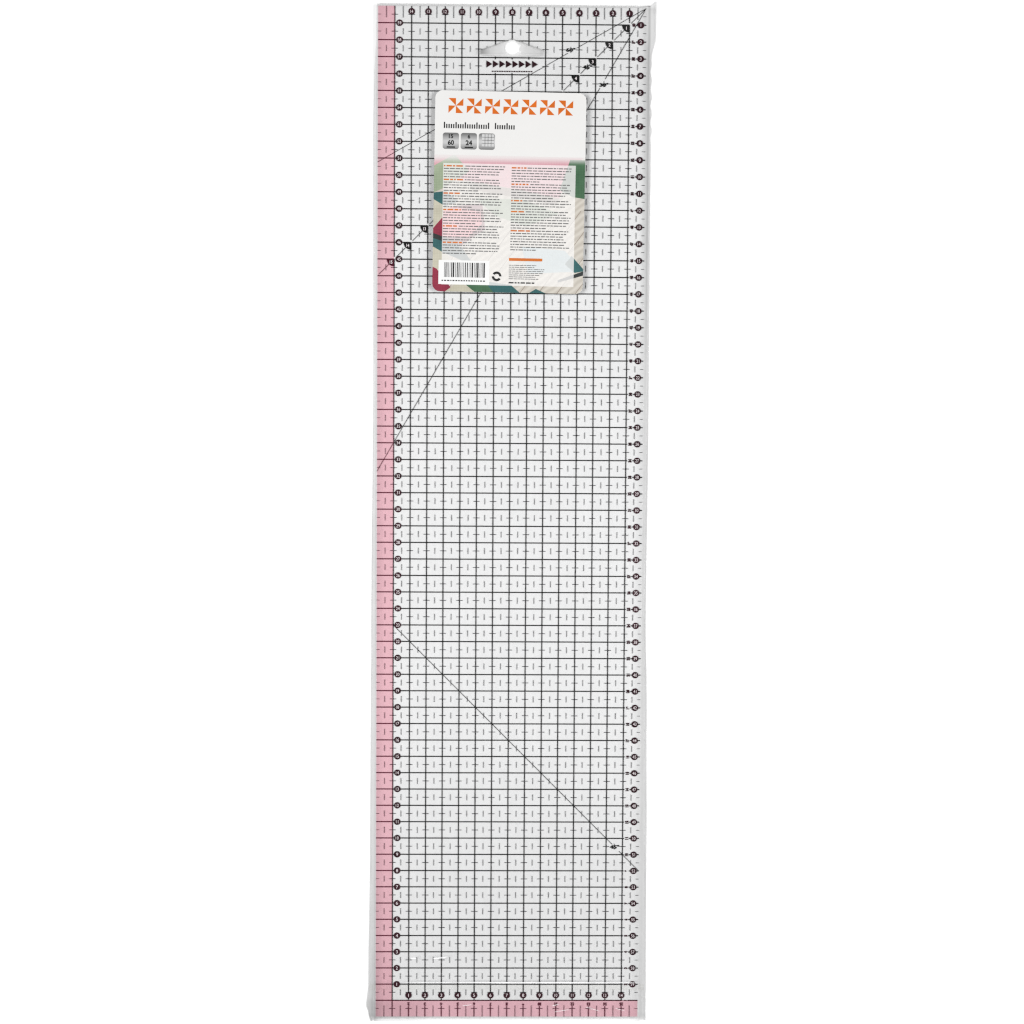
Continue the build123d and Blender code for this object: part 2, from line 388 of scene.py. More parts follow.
def film_paint(name, wrinkle=0.05, haze=0.0, underside=False):
    """Thin clear packing film, with fine streaks and creases. The film_light
    attribute sets the light let through, with painted shade and a painted glint on the front ply, and
    takes the gloss where it is low and where it is near 1, as on the film round the sheet's ends. A film
    that lies against the sheet's underside is glossy only below."""
    paint = Paint(name)
    light = paint.node("Attribute", attribute_name="film_light").outputs["Fac"]
    streaks = paint.spread(paint.grain(2.5, 4.0, (1.0, 0.12, 1.0)), 0.99, 1.008)
    through = paint.level(paint.times(light, streaks))
    creases = paint.grain(6.0, 5.0, (1.0, 0.35, 1.0))
    normal = paint.relief(creases, wrinkle)
    roughness = paint.spread(paint.grain(12.0), 0.08, 0.18)
    # Gloss is taken where the painted shade is deep and where the film is nearly clear.
    dull = paint.spread(light, 0.08, 1.0, 0.86, 0.94)
    dull = paint.times(dull, paint.spread(light, 1.0, 0.1, 0.97, 0.99))
    glossy = paint.times(dull, facing_down(paint)) if underside else dull
    shader = clear_shader(paint, through, FILM_IOR, roughness, haze, grey(0.85), normal, glossy)
    return paint.done(shader)


def acrylic_paint():
    """Cast acrylic: clear faces with hairline scratches, and saw-cut, frosted edges."""
    paint = Paint("clear_acrylic")
    flat = paint.maths("ABSOLUTE", paint.part(paint.surface("Normal"), "Z"))
    edge = paint.spread(flat, 1.0, 0.0, 0.3, 0.6)
    sawn = paint.spread(paint.grain(1.2, 3.0, (1.0, 1.0, 0.2)), 0.70, 0.82)
    cloud = paint.clouds(60.0, 2.0)
    face = paint.blend(cloud, ACRYLIC_THROUGH, shaded(ACRYLIC_THROUGH, 1.008))
    through = paint.blend(edge, face, paint.level(sawn))
    scratches = paint.grain(0.5, 2.0, (1.0, 0.03, 1.0))
    normal = paint.relief(scratches, 0.004, 0.2)
    roughness = paint.spread(edge, 0.05, 0.45, 0.0, 1.0)
    haze = paint.times(edge, 0.12)
    return paint.done(clear_shader(paint, through, ACRYLIC_IOR, roughness, haze, grey(0.8), normal))


def tint_paint():
    """Translucent pink screen ink, mottled where it went on a little thicker."""
    paint = Paint("pink_ink")
    mottle = paint.clouds(2.2, 6.0)
    broad = paint.clouds(45.0, 2.0)
    thin = paint.blend(mottle, TINT_THROUGH, shaded(TINT_THROUGH, 0.985))
    through = paint.blend(broad, thin, shaded(TINT_THROUGH, 0.975))
    tinted = paint.blend(entering(paint), grey(1.0), through)
    body = paint.blend(mottle, rgb(0.86, 0.40, 0.47), rgb(0.80, 0.34, 0.42))
    pigment = paint.solid(Base_Color=body, Roughness=0.5, Normal=paint.relief(mottle, 0.01))
    return paint.done(over_clear(paint, TINT_BODY, pigment, tinted))


def ink_paint(name, colour, over_pink, worn):
    """Opaque screen ink: slightly uneven, warmer where it overprints the pink strip."""
    paint = Paint(name)
    on_side = paint.maths("LESS_THAN", paint.part(paint.place, "X"), (STRIP_X - 0.1) * MM)
    on_end = paint.maths("LESS_THAN", paint.part(paint.place, "Y"), (STRIP_Y - 0.1) * MM)
    pink = paint.maths("MAXIMUM", on_side, on_end)
    base = paint.blend(pink, colour, over_pink)
    speckle = paint.spread(paint.grain(0.35, 4.0), 0.0, 1.0, 0.45, 0.75)
    uneven = paint.blend(paint.times(speckle, worn), base, grey(0.35))
    roughness = paint.spread(paint.grain(0.8), 0.42, 0.62)
    return paint.opaque(uneven, roughness, speckle, 0.01, IOR=1.3)


def pale_paint():
    """Unprinted figures in the dark markers, where the clear sheet shows."""
    paint = Paint("unprinted_figures")
    speckle = paint.clouds(0.4)
    colour = paint.blend(speckle, rgb(0.78, 0.73, 0.74), rgb(0.68, 0.62, 0.63))
    return paint.opaque(colour, 0.5, speckle, 0.005)


def paper_paint():
    """Smooth white label paper with a faint tooth."""
    paint = Paint("label_paper")
    fibre = paint.grain(0.6, 8.0, (1.0, 0.4, 1.0))
    cloud = paint.clouds(20.0)
    colour = paint.blend(cloud, PAPER_WHITE, rgb(0.605, 0.60, 0.59))
    return paint.opaque(colour, paint.spread(fibre, 0.30, 0.45), fibre, 0.01)


def paper_fade(paint, colour):
    """The picture's colour, fading into the white paper at its top."""
    starts, ends = (LABEL_CENTRE.y + v for v in PICTURE_FADE)
    inputs = {0: paint.part(paint.place, "Y"), 1: starts * MM, 2: ends * MM, 3: 0.0, 4: 1.0}
    amount = paint.node("MapRange", inputs, interpolation_type="SMOOTHSTEP").outputs[0]
    return paint.blend(amount, colour, PAPER_WHITE)


def print_paint(name, colour, second=None, weave=0.0):
    """Ink on the label: a fine dot grain, and a woven look where it pictures cloth."""
    paint = Paint(name)
    dots = paint.clouds(0.3, 2.0)
    broad = paint.clouds(7.0)
    second = second or shaded(colour, 0.82)
    base = paint.blend(broad, colour, second)
    if weave:
        bands = []
        for direction in ("X", "Y"):
            inputs = {"Vector": paint.place, "Scale": 330.0, "Distortion": 0.6}
            band = paint.node("TexWave", inputs, bands_direction=direction)
            bands.append(band.outputs["Fac"])
        threads = paint.times(*bands)
        lighter = shaded(colour, 1.6, 0.02)
        base = paper_fade(paint, paint.blend(paint.times(threads, weave), base, lighter))
    dotted = paint.blend(paint.times(dots, 0.3), base, second)
    return paint.opaque(dotted, 0.38, dots, 0.003, 0.3)


def plank_paint():
    """Pictured pale boards, with grain along one diagonal."""
    paint = Paint("label_boards")
    turned = paint.node("Mapping", {"Vector": paint.place, "Rotation": (0, 0, 0.9)})
    inputs = {"Vector": turned.outputs[0], "Scale": 90.0, "Distortion": 3.0, "Detail": 3.0}
    rings = paint.node("TexWave", inputs).outputs["Fac"]
    colour = paper_fade(paint, paint.blend(rings, rgb(0.475, 0.445, 0.395), rgb(0.39, 0.36, 0.315)))
    return paint.opaque(colour, 0.4, rings, 0.003)


def haze_print(name, colour, solidity):
    """A see-through pale print."""
    paint = Paint(name)
    amount = paint.spread(paint.grain(3.0, 3.0), solidity * 0.97, clamp(solidity * 1.03))
    return paint.done(over_clear(paint, amount, paint.solid(Base_Color=colour, Roughness=0.38)))


def foil_paint():
    """Brushed silver print, dark at the top and foot of each little panel."""
    paint = Paint("label_silver")
    middle = LABEL_CENTRE.y + 29.7
    above = paint.maths("SUBTRACT", paint.part(paint.place, "Y"), middle * MM)
    offset = paint.maths("ABSOLUTE", above)
    shade = paint.spread(offset, 0.0, 1.0, 0.0006, 0.0046)
    colour = paint.blend(shade, grey(0.62), grey(0.17))
    brushed = paint.grain(0.4, 2.0, (0.05, 1.0, 1.0))
    fine = paint.blend(paint.spread(brushed, 0.0, 0.25), colour, grey(0.3))
    return paint.done(paint.solid(Base_Color=fine, Roughness=0.33, Metallic=0.35))


def glue_paint():
    """Clear pressure-sensitive glue, slightly milky and uneven."""
    paint = Paint("clear_glue")
    blobs = paint.clouds(1.5, 4.0)
    through = paint.blend(blobs, rgb(0.998, 0.998, 0.99), rgb(0.985, 0.985, 0.975))
    normal = paint.relief(blobs, 0.01)
    roughness = paint.spread(blobs, 0.2, 0.4)
    glossy = facing_down(paint)
    return paint.done(clear_shader(paint, through, 1.4, roughness, 0.02, grey(0.8), normal, glossy))


PAPER_WHITE = rgb(0.62, 0.613, 0.603)
PICTURE_FADE = (16.0, 21.5)  # the picture dies away between these heights on the label
ACRYLIC_THROUGH = rgb(0.925, 0.926, 0.927)
TINT_THROUGH = rgb(1.0, 0.79, 0.83)
TINT_BODY = 0.06
FILM_LIGHT = 0.954
FILM_IOR = 1.25
ACRYLIC_IOR = 1.18

acrylic = acrylic_paint()
film = film_paint("clear_film")
under_film = film_paint("clear_film_under", 0.03, underside=True)
weld_film = film_paint("welded_film", 0.15, 0.02)
pink_ink = tint_paint()
black_ink = ink_paint("black_ink", grey(0.008), rgb(0.095, 0.005, 0.022), 0.04)
grey_ink = ink_paint("grey_ink", rgb(0.030, 0.028, 0.034), rgb(0.085, 0.018, 0.036), 0.10)
maroon_ink = ink_paint("maroon_ink", rgb(0.032, 0.004, 0.010), rgb(0.085, 0.006, 0.022), 0.05)
unprinted = pale_paint()
paper = paper_paint()
glue = glue_paint()


# ---- print under the acrylic ----

DASH_LENGTH = 3.7
UPRIGHT_DASH = 0.26  # width of the dashes along the ruler
LEVEL_DASH = 0.38  # width of the dashes across it
MARK_HALF_WIDTH = 18.0  # bare patch below the slot, between the third and fourth lines
PATCH_ROWS = (2, 4)  # rows that the slot and the bare patch take up


def bare(x, y):
    """True where the slot and the bare patch leave no room for a mark."""
    inside_rows = row_y(PATCH_ROWS[1]) < y < row_y(PATCH_ROWS[0])
    return abs(x) < MARK_HALF_WIDTH and inside_rows


def dash(shape, x, y, half_x, half_y):
    """A small bar of ink with its middle at x, y."""
    shape.bar(x - half_x, x + half_x, y - half_y, y + half_y, MARKER_Z, MARKER_TOP)


def half_centimetre_marks():
    """Short dashes halfway along and across every square."""
    shape = Shape()
    half, thin, thick = DASH_LENGTH / 2, UPRIGHT_DASH / 2, LEVEL_DASH / 2
    for row in range(ROWS + 1):
        y = row_y(row + 0.5)
        for column in range(COLUMNS + 1):
            x = column_x(column + 0.5)
            if 0 < row < ROWS and not bare(x, y):
                dash(shape, x, y, thin, half)
        for column in range(1, COLUMNS + 1):
            x = column_x(column)
            if not bare(x, y):
                dash(shape, x, y, half, thick)
    for side in (-1, 1):  # stubs of two dashes, above the slot's shoulders
        x = side * 1.5 * CM
        shape.bar(x - thin, x + thin, row_y(2.5) + 0.9, row_y(2.5) + half, MARKER_Z, MARKER_TOP)
    piece("half_centimetre_marks", shape, grey_ink, "ruler")


FIGURE_HEIGHT = 1.9
FIGURE_SINK = 0.008  # figures stand this far out of both faces of their marker


def ruler_figure(shape, text, x, y, height, sink=0.0, **look):
    """Figures in the layer of the markers."""
    write_figure(shape, text, x, y, height, MARKER_Z - sink, MARKER_TOP + sink, **look)


def numbered_discs(name, places):
    """Round markers with their figures, in place of the plain discs."""
    discs = Shape()
    figures = Shape()
    for number, x, y in places:
        discs.disc(x, y, DISC_RADIUS, MARKER_Z, MARKER_TOP)
        squeeze = 0.85 if number > 9 else 1.1
        ruler_figure(figures, str(number), x, y, FIGURE_HEIGHT, FIGURE_SINK, squeeze=squeeze, bolder=0.0)
    piece(name + "_print", discs, maroon_ink, "ruler", [name])
    piece(name + "_figures", figures, unprinted, "ruler")


def flag_outline(x, y):
    """Quarter round below and left of a crossing, with its corner clipped."""
    arc = [math.pi + math.pi / 2 * step / 12 for step in range(13)]
    rim = [(x + FLAG_RADIUS * math.cos(a), y + FLAG_RADIUS * math.sin(a)) for a in arc]
    return rim + [(x, y - FLAG_CLIP), (x - FLAG_CLIP, y)]


def numbered_flags():
    flags = Shape()
    figures = Shape()
    inset = 1.85
    for number in range(1, COLUMNS + 1):
        x, y = column_x(number), row_y(number)
        flags.prism(flag_outline(x, y), MARKER_Z, MARKER_TOP)
        squeeze = 0.8 if number > 9 else 1.0
        ruler_figure(figures, str(number), x - inset, y - inset, FIGURE_HEIGHT, FIGURE_SINK,
                     squeeze=squeeze, bolder=0.02)
    piece("diagonal_flags_print", flags, black_ink, "ruler", ["diagonal_number_flags"])
    piece("diagonal_flag_figures", figures, unprinted, "ruler")


def small_numbers():
    """Maroon figures turned along the right side and upside down in the bottom strip."""
    shape = Shape()
    right_x = RIGHT - 7.5
    for row in range(1, ROWS + 1):
        ruler_figure(shape, str(ROWS + 1 - row), right_x, row_y(row), 2.0,
                     turn=math.pi / 2, squeeze=0.85, bolder=0.075)
    below = 2.25
    for number in range(1, COLUMNS):
        ruler_figure(shape, str(number + 1), STRIP_X + number * CM, STRIP_Y - below, 2.1,
                     turn=math.pi, squeeze=0.85, bolder=0.06)
    piece("small_scale_numbers", shape, maroon_ink, "ruler")


ANGLE_FIGURES = (("60", 35.0, 280.0), ("45", 45.1, 269.9), ("30", 55.0, 259.5), ("45", 65.2, -200.2))


def angle_figures():
    """The angles in degrees beside the guide lines."""
    shape = Shape()
    for degrees, x, y in ANGLE_FIGURES:
        ruler_figure(shape, degrees + "°", x, y, 2.4, squeeze=1.4, bolder=0.042)
    piece("angle_figures", shape, black_ink, "ruler")


INK_SPREAD = 0.07  # the crosswise ink stands this far past its lines on both sides


def crosswise_print():
    """The crosswise lines, with their ink spread a little at both sides."""
    lines = frame["nodes"]["crosswise_grid_lines"]
    points = []
    for vertex in lines.data.vertices:
        x, y, z = lines.matrix_world @ vertex.co / MM
        middle = row_y(round((TOP - y) / CM))
        points.append((x, y + math.copysign(INK_SPREAD, y - middle), z))
    shape = Shape()
    shape.add(points, [list(face.vertices) for face in lines.data.polygons])
    piece("crosswise_print", shape, black_ink, "ruler", ["crosswise_grid_lines"])


def geese_mark():
    """A plain row of patchwork triangles on the bare patch, over a broken rule."""
    shape = Shape()
    count = 8
    pitch = 3.9
    middle_y = row_y(3.5) + 1.2
    for index in range(count):
        x = (index - (count - 1) / 2) * pitch
        tip = [(x - 1.7, middle_y - 2.1), (x + 1.7, middle_y), (x - 1.7, middle_y + 2.1)]
        shape.prism(tip, MARKER_Z, MARKER_TOP)
    rule_y = row_y(4) + 1.9
    for index in range(17):
        dash(shape, (index - 8) * 1.45, rule_y, 0.45, 0.35)
    piece("patchwork_triangle_mark", shape, maroon_ink, "ruler")


def printed_scale():
    crosswise_print()
    half_centimetre_marks()
    top_y, bottom_y = TOP - DISC_TO_EDGE, STRIP_Y + DISC_TO_EDGE
    numbered_discs("top_number_discs", [(n, column_x(n), top_y) for n in range(1, COLUMNS)])
    numbered_discs("bottom_number_discs", [(n, STRIP_X + n * CM, bottom_y) for n in range(1, COLUMNS)])
    left_x, right_x = STRIP_X + DISC_TO_STRIP, RIGHT - DISC_TO_EDGE
    numbered_discs("left_number_discs", [(ROWS - row, left_x, row_y(row)) for row in range(1, ROWS)])
    numbered_discs("right_number_discs", [(row, right_x, row_y(row)) for row in range(1, ROWS)])
    numbered_flags()
    small_numbers()
    angle_figures()
    geese_mark()


# ---- film sleeve ----

# where the sleeve's two long edges run, as (y, x), from the closed end to the mouth
LEFT_EDGE = ((304, -81.0), (288, -81.1), (262, -82.2), (235, -82.7), (80, -82.3), (-60, -83.3),
             (-200, -83.7), (-285, -84.6), (-298, -85.8), (-303, -84.4), (-308, -82.8))
RIGHT_EDGE = ((309, 86.1), (288, 85.9), (275, 83.3), (240, 83.4), (50, 83.5), (-59, 82.9),
              (-115, 84.1), (-200, 84.7), (-300, 85.0), (-308, 85.1))
SCALLOPS = (222, 276)  # stretch of the right edge that is crimped
WELD_WIDTH = 1.2
MARGIN_STEPS = 10
FINE_STEP = 0.75  # mesh step round the hang slot
PATCH = 10 * FINE_STEP  # half of the square patch round the punched hole
WEAR_STEP = 1.0  # mesh step near the mouth
STEP = 2.6


def left_edge(y):
    return along(LEFT_EDGE, y) + 0.12 * wave(0, y, 9, 1)


def right_edge(y):
    crimp = ease((y - SCALLOPS[0]) / 8) * ease((SCALLOPS[1] - y) / 8)
    scallop = 0.55 * crimp * math.sin(2 * math.pi * y / CM)
    return along(RIGHT_EDGE, y) + scallop + 0.12 * wave(9, y, 9, 2)


def edge_beyond(x, y):
    """How far from the middle the sleeve's edge is, on that x's side."""
    return -left_edge(y) if x < 0 else right_edge(y)


def slot_depth(x, y):
    """How far inside the hang slot a point is, in millimetres; negative outside."""
    run, fall = SLOT_HALF_WIDTH - SLOT_END_RADIUS, HOLE_Y - SLOT_BASE_Y - SLOT_END_RADIUS
    lean = math.acos((SLOT_ARCH_RADIUS - SLOT_END_RADIUS) / math.hypot(run, fall)) - math.atan2(fall, run)
    shoulder = SLOT_ARCH_RADIUS - (abs(x) * math.cos(lean) + (y - HOLE_Y) * math.sin(lean))
    return min(shoulder, y - SLOT_BASE_Y, SLOT_HALF_WIDTH - abs(x))


def on_label(x, y):
    """1 on the label and just round it, easing to 0 outside."""
    beyond_x = abs(x - LABEL_CENTRE.x) - LABEL_WIDTH / 2
    beyond_y = abs(y - LABEL_CENTRE.y) - LABEL_LENGTH / 2
    return ease(1 - (max(beyond_x, beyond_y) - 2) / 8)


def spaced(start, stop, step):
    """Values from start up to but not including stop, near that step."""
    count = max(1, round((stop - start) / step))
    return [start + (stop - start) * index / count for index in range(count)]


def film_lines(fine):
    """Mesh lines across and along a ply: x positions between the crowns, and y positions."""
    step = FINE_STEP if fine else STEP
    slot_x = 27 * FINE_STEP
    xs = spaced(-CROWN_X, -slot_x, STEP) + spaced(-slot_x, -PATCH, step)
    xs += spaced(-PATCH, PATCH, FINE_STEP) + spaced(PATCH, slot_x, step)
    xs += spaced(slot_x, CROWN_X, STEP) + [CROWN_X]
    low, high = HOLE_Y - PATCH, HOLE_Y + PATCH
    worn = BOTTOM + 40
    ys = spaced(MOUTH_Y, worn, WEAR_STEP if fine else STEP) + spaced(worn, low, STEP)
    ys += spaced(low, high, FINE_STEP) + spaced(high, TOP - 2, STEP)
    ys += spaced(TOP - 2, CROWN_Y, 0.5) + spaced(CROWN_Y, SLEEVE_TOP, 0.2) + [SLEEVE_TOP]
    return xs, ys


def mouth_line(x):
    """How far the mouth's edge stands below its straight line."""
    left_tail = 1.4 * bump(x + 83.0, 2.6)
    right_tail = 0.9 * ease((x - 82.0) / 3)
    return 0.35 * wave(x, 0, 28, 5) - 0.35 + left_tail + right_tail


def closed_line(x):
    """How far the closed end's edge stands above its straight line."""
    flare = 2.4 * ease((x - 82.0) / 3.5)
    rounded = -1.5 * ease((-78.0 - x) / 3.5)
    return flare + rounded - 0.25 + 0.15 * wave(x, 0, 30, 6)


def settle_ends(x, y):
    """Y of a film point once the two ends have taken their wavy lines."""
    reach = 9.0
    at_mouth = ease((MOUTH_Y + reach - y) / reach)
    at_closed = ease((y - SLEEVE_TOP + reach) / reach)
    return y - mouth_line(x) * at_mouth + closed_line(x) * at_closed


def film_grid(fine):
    """Points of one ply as rows of (x, y), with the square patch round the hole left open."""
    xs, ys = film_lines(fine)
    rows = []
    for y in ys:
        left, right = left_edge(y), right_edge(y)
        row = [left + (-CROWN_X - left) * step / MARGIN_STEPS for step in range(MARGIN_STEPS)]
        row += xs
        row += [CROWN_X + (right - CROWN_X) * step / MARGIN_STEPS for step in range(1, MARGIN_STEPS + 1)]
        rows.append([(x, settle_ends(x, y)) for x in row])
    points = [point for row in rows for point in row]
    width = len(rows[0])
    first = MARGIN_STEPS + xs.index(min(xs, key=lambda x: abs(x + PATCH)))
    base = ys.index(min(ys, key=lambda y: abs(y - HOLE_Y + PATCH)))
    side = round(2 * PATCH / FINE_STEP)

    def in_patch(corner):
        return 0 <= corner // width - base < side and 0 <= corner % width - first < side

    faces = [face for face in grid_faces(len(ys), width) if not in_patch(face[0])]
    start = base * width + first
    rim = [start + step for step in range(side)]
    rim += [start + side + step * width for step in range(side)]
    rim += [start + side + side * width - step for step in range(side)]
    rim += [start + side * width - step * width for step in range(side)]
    return points, faces, rim


def punched_radius(angle):
    """The hook hole's radius, with two torn nicks on its right."""
    nicks = ((14.0, 11.0, 1.3), (-30.0, 9.0, 2.3))
    torn = sum(depth * bump(angle - middle, width) for middle, width, depth in nicks)
    return HOLE_RADIUS + torn


def punch(points, faces, rim):
    """Fill the patch between its square rim and the round hole."""
    rings = 4
    loops = [rim]
    for ring in range(1, rings + 1):
        loop = []
        for index in rim:
            x, y = points[index]
            angle = math.atan2(y - HOLE_Y, x)
            radius = punched_radius(math.degrees(angle))
            hole_x, hole_y = radius * math.cos(angle), HOLE_Y + radius * math.sin(angle)
            share = ring / rings
            loop.append(len(points))
            points.append((x + (hole_x - x) * share, y + (hole_y - y) * share))
        loops.append(loop)
    for outer, inner in zip(loops, loops[1:]):
        for index in range(len(rim)):
            after = (index + 1) % len(rim)
            faces.append([outer[index], outer[after], inner[after], inner[index]])


def thin_solid(top, faces, thickness):
    """A closed film: the top points, a copy below and walls round every open edge."""
    count = len(top)
    shape = Shape()
    below = [(x, y, z - thickness) for x, y, z in top]
    used = {}
    for face in faces:
        for first, second in zip(face, face[1:] + face[:1]):
            used[(first, second)] = True
    walls = []
    for first, second in used:
        if (second, first) not in used:
            walls.append([second, first, count + first, count + second])
    under = [[count + index for index in reversed(face)] for face in faces]
    shape.add(top + below, faces + under + walls)
    return shape


def grid_faces(rows, width):
    """Faces between points laid row by row."""
    corners = [row * width + column for row in range(rows - 1) for column in range(width - 1)]
    return [[c, c + 1, c + width + 1, c + width] for c in corners]


def add_sheet(shape, rows, thickness):
    """Add a closed thin sheet below rows of points."""
    points = [point for row in rows for point in row]
    sheet = thin_solid(points, grid_faces(len(rows), len(rows[0])), thickness)
    shape.add(sheet.points, sheet.faces)


def margin_share(x, y):
    """0 at the foot of the film's slope, 1 at its crown over the sheet."""
    edge = edge_beyond(x, y)
    beyond = edge - CROWN_X
    foot = edge - min(WELD_WIDTH, beyond * 0.35)
    side = 1 - ease((abs(x) - CROWN_X) / (foot - CROWN_X))
    end = 1 - ease((y - CROWN_Y) / (END_FOOT_Y - CROWN_Y))
    return min(side, end)


def front_height(x, y):
    """Top of the front ply: draped over the sheet, down to the weld, with slack ripples."""
    share = margin_share(x, y)
    weld_top = BACK_TOP + FILM + 0.01
    flat = 1 - on_label(x, y)
    slack = 0.5 + 0.5 * wave(x, y, 34, 3)
    fine_slack = 0.5 + 0.5 * wave(x * 2.2, y, 11, 4)
    ripple = flat * (0.16 * slack + 0.03 * fine_slack)
    near_mouth = ease((BOTTOM + 34 - y) / 24)
    pucker = near_mouth * flat * 0.35 * max(0.0, wave(x * 0.35, y, 3.4, 7))
    loose = 4 * share * (1 - share)
    taut = 1 - 0.95 * ease((y - TOP + 2) / 2)
    crumple = loose * taut * (0.55 * wave(x * 2.6, y * 0.22, 5, 8) + 0.25 * wave(x, y, 3.2, 9))
    corner = ease((x - 80.5) / 1.5) * ease((y - 274) / 12)
    folds = corner * 0.45 * math.sin(2 * math.pi * (x - 80.4) / 2.3)
    height = weld_top + (FRONT_TOP - weld_top) * share + ripple * share + pucker * share
    return height + crumple + max(-0.3, folds + corner * 0.5)


# painted shade on the film beside the sheet: light let through next to it and at the weld, as (y, share)
LEFT_INNER = ((306, 0.88), (270, 0.83), (150, 0.84), (-50, 0.81), (-150, 0.83), (-306, 0.78))
LEFT_OUTER = ((306, 0.99), (270, 0.95), (150, 0.92), (-60, 0.90), (-200, 0.91), (-306, 0.87))
RIGHT_INNER = ((306, 0.89), (270, 0.78), (150, 0.80), (60, 0.775), (-40, 0.785), (-306, 0.84))
RIGHT_OUTER = ((306, 0.87), (270, 0.90), (150, 0.90), (60, 0.86), (-40, 0.84), (-306, 0.835))
RIGHT_FOLD_SHADE = 0.22  # painted shade: how much darker the fold down the upper part of the right margin is
RIGHT_GLINT = 0.04  # how much brighter the streak along the flared fold is
LEFT_RIM_SHADE = 0.12  # painted shade: how much darker the film is against the sheet's left edge
CLEAR_END = 0.995
# painted shade: light let through the film over the hang slot
SLOT_SHADED_LIGHT = 0.80
# painted highlights where sharp creases in the front ply catch the light, as (x from, y from, x to, y to,
# width)
CREASE_HIGHLIGHTS = (
    (-31, -282.8, 79, -282.9, 0.8), (-62, -282.7, -29, -282.8, 0.35),
    (-45, -268.0, -36, -267.0, 0.7), (-58.6, -267.8, -55.2, -267.8, 0.6),
    (-27, -297.1, -21.5, -296.3, 0.3), (27.5, -297.1, 31.8, -296.1, 0.35),
    (29, -300.9, 38, -299.4, 0.3), (48, -297.8, 57, -300.4, 0.3), (66, -298.4, 72, -300.2, 0.25),
)


def film_light(x, y):
    """How much light the front ply lets through, with painted shade: darker beside the sheet, along its
    top and bottom edges, towards both ends and over the hang slot, with a painted glint on the right
    margin; clearer beyond the ends.
    """
    light = FILM_LIGHT
    # Beside the sheet: painted shade eased from the inner to the outer table, with random streaks.
    beyond = abs(x) - (RIGHT - 0.2)
    if beyond > 0:
        inner, outer = (LEFT_INNER, LEFT_OUTER) if x < 0 else (RIGHT_INNER, RIGHT_OUTER)
        edge = edge_beyond(x, y) - RIGHT
        share = ease(beyond / max(edge, 0.5))
        streak = 0.02 * wave(x * 3.0, y * 0.15, 4, 12)
        light = along(inner, y) * (1 - share) + along(outer, y) * share + streak
        # Painted shade against the left edge; on the right, painted shade down the fold and a painted
        # glint along its flared edge.
        if x < 0:
            light -= LEFT_RIM_SHADE * bump(beyond - 0.5, 0.7)
        else:
            light -= RIGHT_FOLD_SHADE * bump(beyond - 1.8, 1.3) * ease((y - 60) / 110)
            light += RIGHT_GLINT * bump(beyond - 3.4, 0.7) * ease((y - 222) / 10)
    elif y > TOP or y < BOTTOM:
        light = CLEAR_END
    # Painted shade: a darker band along the sheet's top and bottom edges, darker towards both ends, and
    # darker at the bottom left and along the left of the bottom strip.
    light -= 0.05 * max(bump(y - (TOP - 0.8), 1.6), bump(y - (BOTTOM + 0.9), 1.6))
    light -= 0.018 * ease((-110 - y) / 120) + 0.014 * ease((y - 215) / 50)
    light -= 0.02 * ease((-60 - x) / 12) * ease((-250 - y) / 30)
    light -= (0.003 + 0.065 * ease((-40 - x) / 20)) * ease((-292 - y) / 5)
    # Painted shade over the hang slot: darker throughout, most at its left end, a little towards its
    # right, and in a band just inside its rim; a touch lighter at its base.
    depth = slot_depth(x, y)
    inside = ease((depth + 0.2) / 0.9)
    if inside > 0:
        dim = 0.33 * ease((-12.5 - x) / 6) + 0.05 * ease((x - 8) / 12)
        slot_shaded_light = SLOT_SHADED_LIGHT - dim + 0.03 * ease((280 - y) / 4) - 0.09 * bump(depth - 0.5, 0.9)
        light += (slot_shaded_light - light) * inside
    return clamp(light, 0.4, 1.0)


def front_film():
    points, faces, rim = film_grid(True)
    punch(points, faces, rim)
    top = [(x, y, front_height(x, y)) for x, y in points]
    light = [film_light(x, y) for x, y in points]
    shape = thin_solid(top, faces, FILM)
    walls = ["sleeve_front_ply", "sleeve_left_side", "sleeve_right_side", "sleeve_closed_end"]
    piece("sleeve_front_film", shape, film, "sleeve", walls, True, light * 2)


def crease_paint():
    """A painted highlight on the ridge of a sharp crease in clear film."""
    paint = Paint("film_crease_highlight")
    patchy = paint.spread(paint.grain(3.0, 4.0, (0.4, 1.0, 1.0)), 0.55, 1.0)
    # painted highlight: patchy pale grey over the clear film
    ridge = paint.solid(Base_Color=grey(0.85), Roughness=0.3, Normal=paint.relief(patchy, 0.01))
    return paint.done(over_clear(paint, patchy, ridge))


def bright_creases():
    """Painted crease highlights: tapered strips standing a little above the front ply."""
    shape = Shape()
    steps = 24
    for x_from, y_from, x_to, y_to, width in CREASE_HIGHLIGHTS:
        rows = [[], []]
        for step in range(steps + 1):
            share = step / steps
            x, y = x_from + (x_to - x_from) * share, y_from + (y_to - y_from) * share
            half = width / 2 * (0.15 + 0.85 * math.sin(math.pi * share) ** 0.4)
            middle = y + 0.12 * wave(x, y, 9, 21)
            for row, edge in zip(rows, (middle - half, middle + half)):
                row.append((x, edge, front_height(x, edge) + 0.05))
        add_sheet(shape, rows, 0.03)
    piece("sleeve_crease_highlights", shape, crease_paint(), "sleeve")


def back_film():
    """The flat ply that lies under the ruler."""
    points, faces, rim = film_grid(False)
    punch(points, faces, rim)
    top = [(x, y, BACK_TOP) for x, y in points]
    shape = thin_solid(top, faces, FILM)
    light = [FILM_LIGHT if abs(y) < TOP else CLEAR_END for x, y, z in shape.points]
    piece("sleeve_back_film", shape, under_film, "sleeve", ["sleeve_back_ply"], True, light)


BEAD = 0.03  # thickness of a welded bead
BEAD_Z = BACK_TOP + FILM + 0.05


